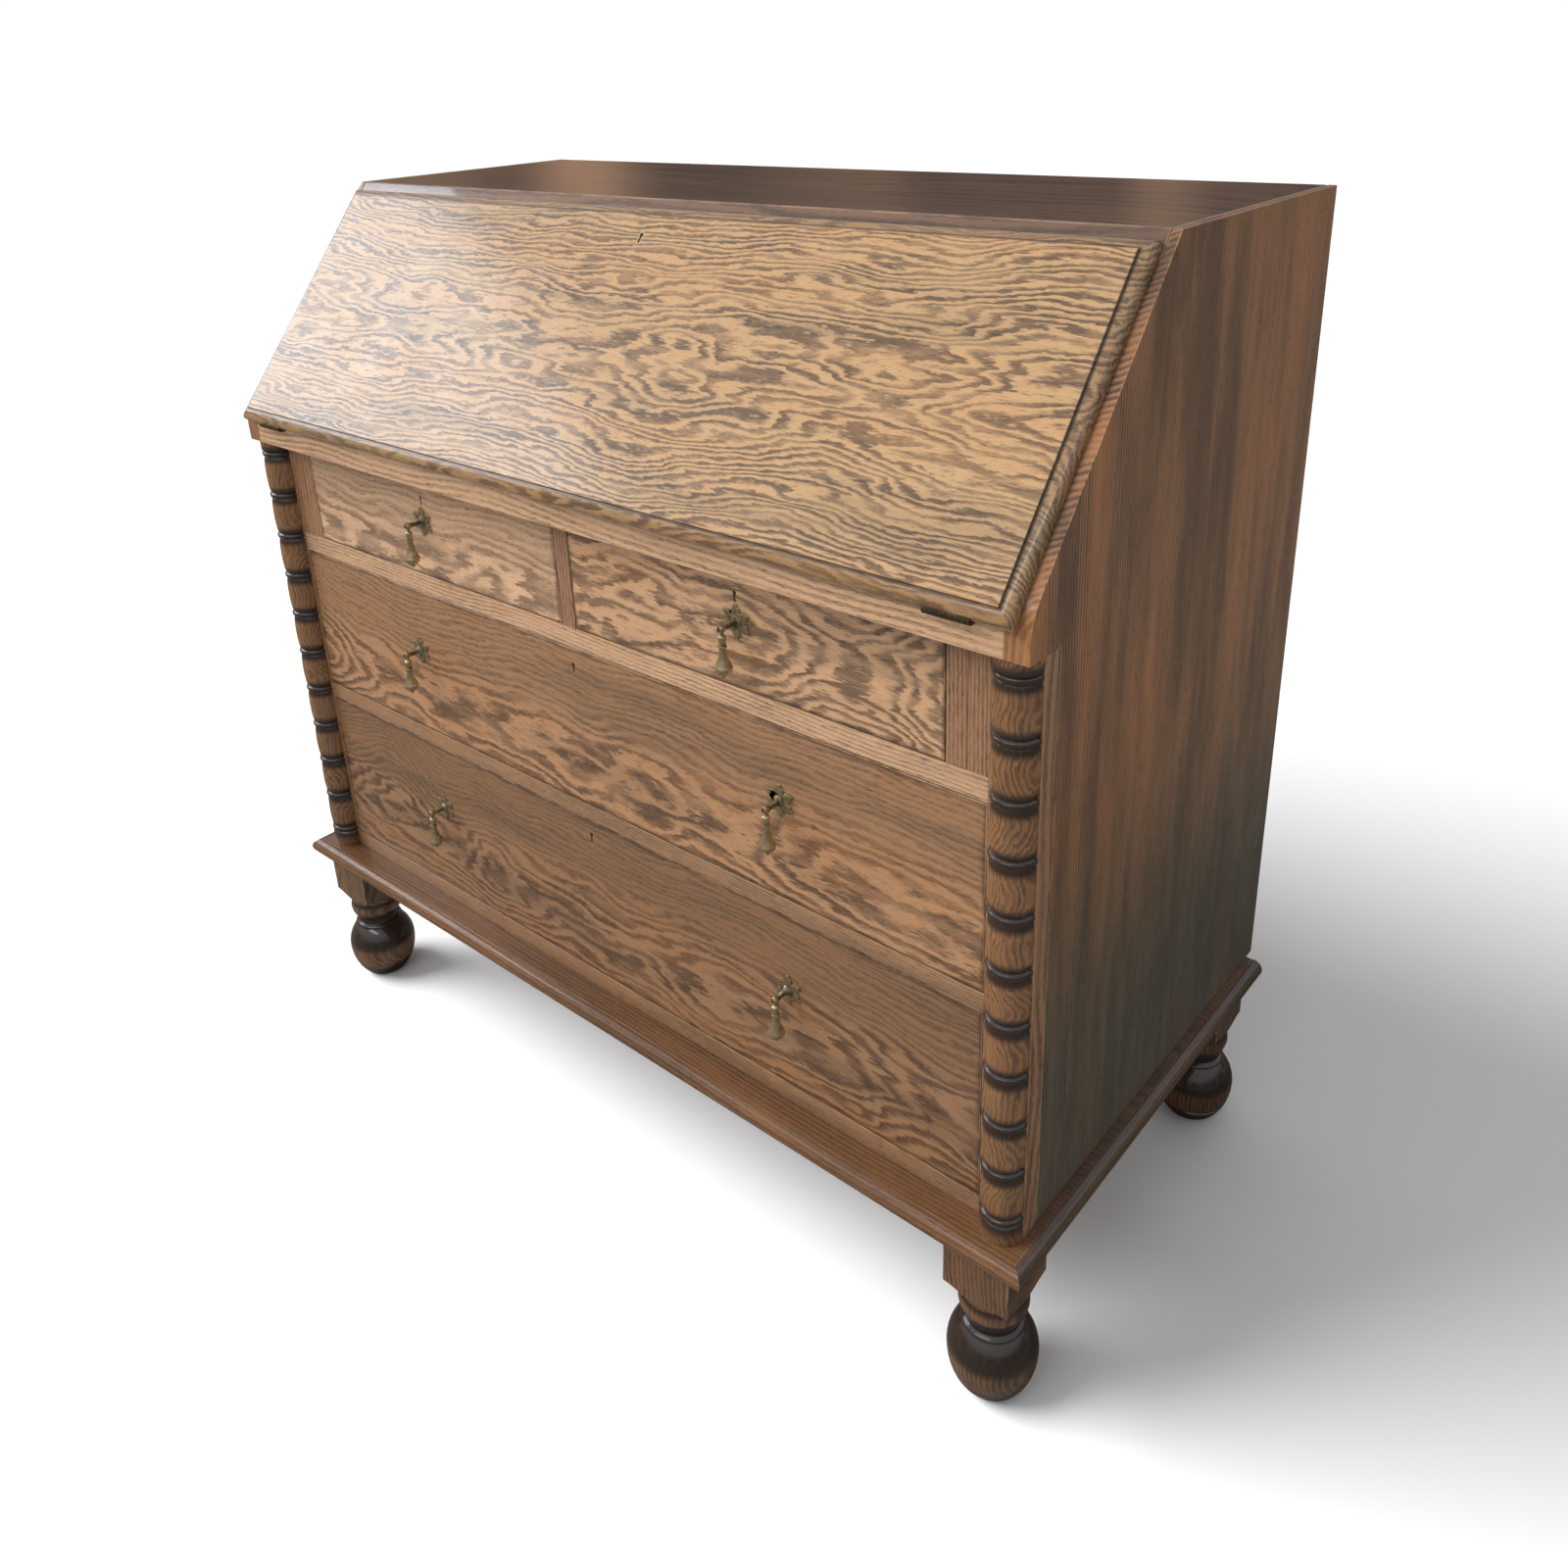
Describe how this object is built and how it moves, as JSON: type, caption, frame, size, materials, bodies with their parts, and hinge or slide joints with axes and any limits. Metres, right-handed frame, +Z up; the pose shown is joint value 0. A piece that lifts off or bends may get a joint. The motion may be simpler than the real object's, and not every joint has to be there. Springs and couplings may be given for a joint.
{
  "type": "secretary desk",
  "caption": "Slant-front oak bureau: fall front on lopers, drawers with brass drop handles, ringed split turnings at the corners, bun feet.",
  "frame": {"origin": "centre of the footprint, on the floor", "axes": "+Z up; the drawers and the fall face -Y; +X is to the right of a person sitting at the desk"},
  "size_m": [1.066, 0.518, 1.014],
  "materials": {
    "case_oak": "french polished, dark oak",
    "top_oak": "french polished, glossy",
    "fall_oak": "french polished, golden oak with dark figure",
    "drawer_oak": "french polished, mid oak",
    "frame_oak": "french polished, mid oak",
    "turned_oak": "dark polish, worn amber on the swells",
    "base_oak": "dark polish, worn edges",
    "foot_oak": "dark polish",
    "bed_oak": "polished",
    "inner_pine": "bare, aged",
    "back_ply": "bare, aged",
    "hinge_brass": "dull, dark",
    "handle_brass": "antique, rubbed on the high parts",
    "lock_brass": "dull",
    "escutcheon_brass": "pale, worn"
  },
  "bodies": {
    "case": {"side_panel_left": "case_oak", "side_panel_right": "case_oak", "top_board": "top_oak", "back_panel": "back_ply", "writing_bed": "bed_oak", "frieze_rail": "case_oak", "stile_left": "frame_oak", "stile_right": "frame_oak", "column_left": "turned_oak", "column_right": "turned_oak", "loper_stile_left": "frame_oak", "loper_stile_right": "frame_oak", "centre_divider": "frame_oak", "loper_guides": "inner_pine", "rail_upper": "frame_oak", "rail_middle": "frame_oak", "rail_bottom": "frame_oak", "dust_board_upper": "inner_pine", "dust_board_middle": "inner_pine", "drawer_runners": "inner_pine", "base_board": "base_oak", "nosing_front": "base_oak", "nosing_left": "base_oak", "nosing_right": "base_oak", "foot_blocks": "foot_oak", "foot_front_left": "foot_oak", "foot_front_right": "foot_oak", "foot_back_left": "foot_oak", "foot_back_right": "foot_oak", "pigeonhole_shelf": "bed_oak", "pigeonhole_dividers": "bed_oak", "hinge_fixed_leaves": "hinge_brass"},
    "fall": {"fall_panel": "fall_oak", "fall_lock": "lock_brass", "fall_escutcheon": "escutcheon_brass", "hinge_moving_leaves": "hinge_brass"},
    "left_loper": {"loper_left": "frame_oak"},
    "right_loper": {"loper_right": "frame_oak"},
    "short_drawer_left": {"short_left_front": "drawer_oak", "short_left_box": "inner_pine", "short_left_lock": "lock_brass", "short_left_handle_plate": "handle_brass"},
    "short_drawer_right": {"short_right_front": "drawer_oak", "short_right_box": "inner_pine", "short_right_lock": "lock_brass", "short_right_handle_plate": "handle_brass"},
    "upper_drawer": {"upper_drawer_front": "drawer_oak", "upper_drawer_box": "inner_pine", "upper_drawer_lock": "lock_brass", "upper_drawer_handle_plates": "handle_brass"},
    "lower_drawer": {"lower_drawer_front": "drawer_oak", "lower_drawer_box": "inner_pine", "lower_drawer_lock": "lock_brass", "lower_drawer_handle_plates": "handle_brass"},
    "short_left_drop": {"drop_short_left": "handle_brass"},
    "short_right_drop": {"drop_short_right": "handle_brass"},
    "upper_left_drop": {"drop_upper_left": "handle_brass"},
    "upper_right_drop": {"drop_upper_right": "handle_brass"},
    "lower_left_drop": {"drop_lower_left": "handle_brass"},
    "lower_right_drop": {"drop_lower_right": "handle_brass"}
  },
  "joints": [
    {"name": "fall_hinge", "type": "hinge", "parent": "case", "child": "fall", "pos_m": [0, -0.25, 0.771], "axis": [1, 0, 0], "range_deg": [0, 132.6]},
    {"name": "left_loper_slide", "type": "slide", "parent": "case", "child": "left_loper", "axis": [0, -1, 0], "range_m": [0, 0.27]},
    {"name": "right_loper_slide", "type": "slide", "parent": "case", "child": "right_loper", "axis": [0, -1, 0], "range_m": [0, 0.27]},
    {"name": "short_left_drawer_slide", "type": "slide", "parent": "case", "child": "short_drawer_left", "axis": [0, -1, 0], "range_m": [0, 0.25]},
    {"name": "short_right_drawer_slide", "type": "slide", "parent": "case", "child": "short_drawer_right", "axis": [0, -1, 0], "range_m": [0, 0.25]},
    {"name": "upper_drawer_slide", "type": "slide", "parent": "case", "child": "upper_drawer", "axis": [0, -1, 0], "range_m": [0, 0.33]},
    {"name": "lower_drawer_slide", "type": "slide", "parent": "case", "child": "lower_drawer", "axis": [0, -1, 0], "range_m": [0, 0.33]},
    {"name": "short_left_drop_swing", "type": "hinge", "parent": "short_drawer_left", "child": "short_left_drop", "pos_m": [-0.222, -0.242, 0.6965], "axis": [-1, 0, 0], "range_deg": [-14, 75]},
    {"name": "short_right_drop_swing", "type": "hinge", "parent": "short_drawer_right", "child": "short_right_drop", "pos_m": [0.222, -0.242, 0.6965], "axis": [-1, 0, 0], "range_deg": [-14, 75]},
    {"name": "upper_left_drop_swing", "type": "hinge", "parent": "upper_drawer", "child": "upper_left_drop", "pos_m": [-0.262, -0.242, 0.537], "axis": [-1, 0, 0], "range_deg": [-14, 75]},
    {"name": "upper_right_drop_swing", "type": "hinge", "parent": "upper_drawer", "child": "upper_right_drop", "pos_m": [0.262, -0.242, 0.537], "axis": [-1, 0, 0], "range_deg": [-14, 75]},
    {"name": "lower_left_drop_swing", "type": "hinge", "parent": "lower_drawer", "child": "lower_left_drop", "pos_m": [-0.262, -0.242, 0.335], "axis": [-1, 0, 0], "range_deg": [-14, 75]},
    {"name": "lower_right_drop_swing", "type": "hinge", "parent": "lower_drawer", "child": "lower_right_drop", "pos_m": [0.262, -0.242, 0.335], "axis": [-1, 0, 0], "range_deg": [-14, 75]}
  ]
}
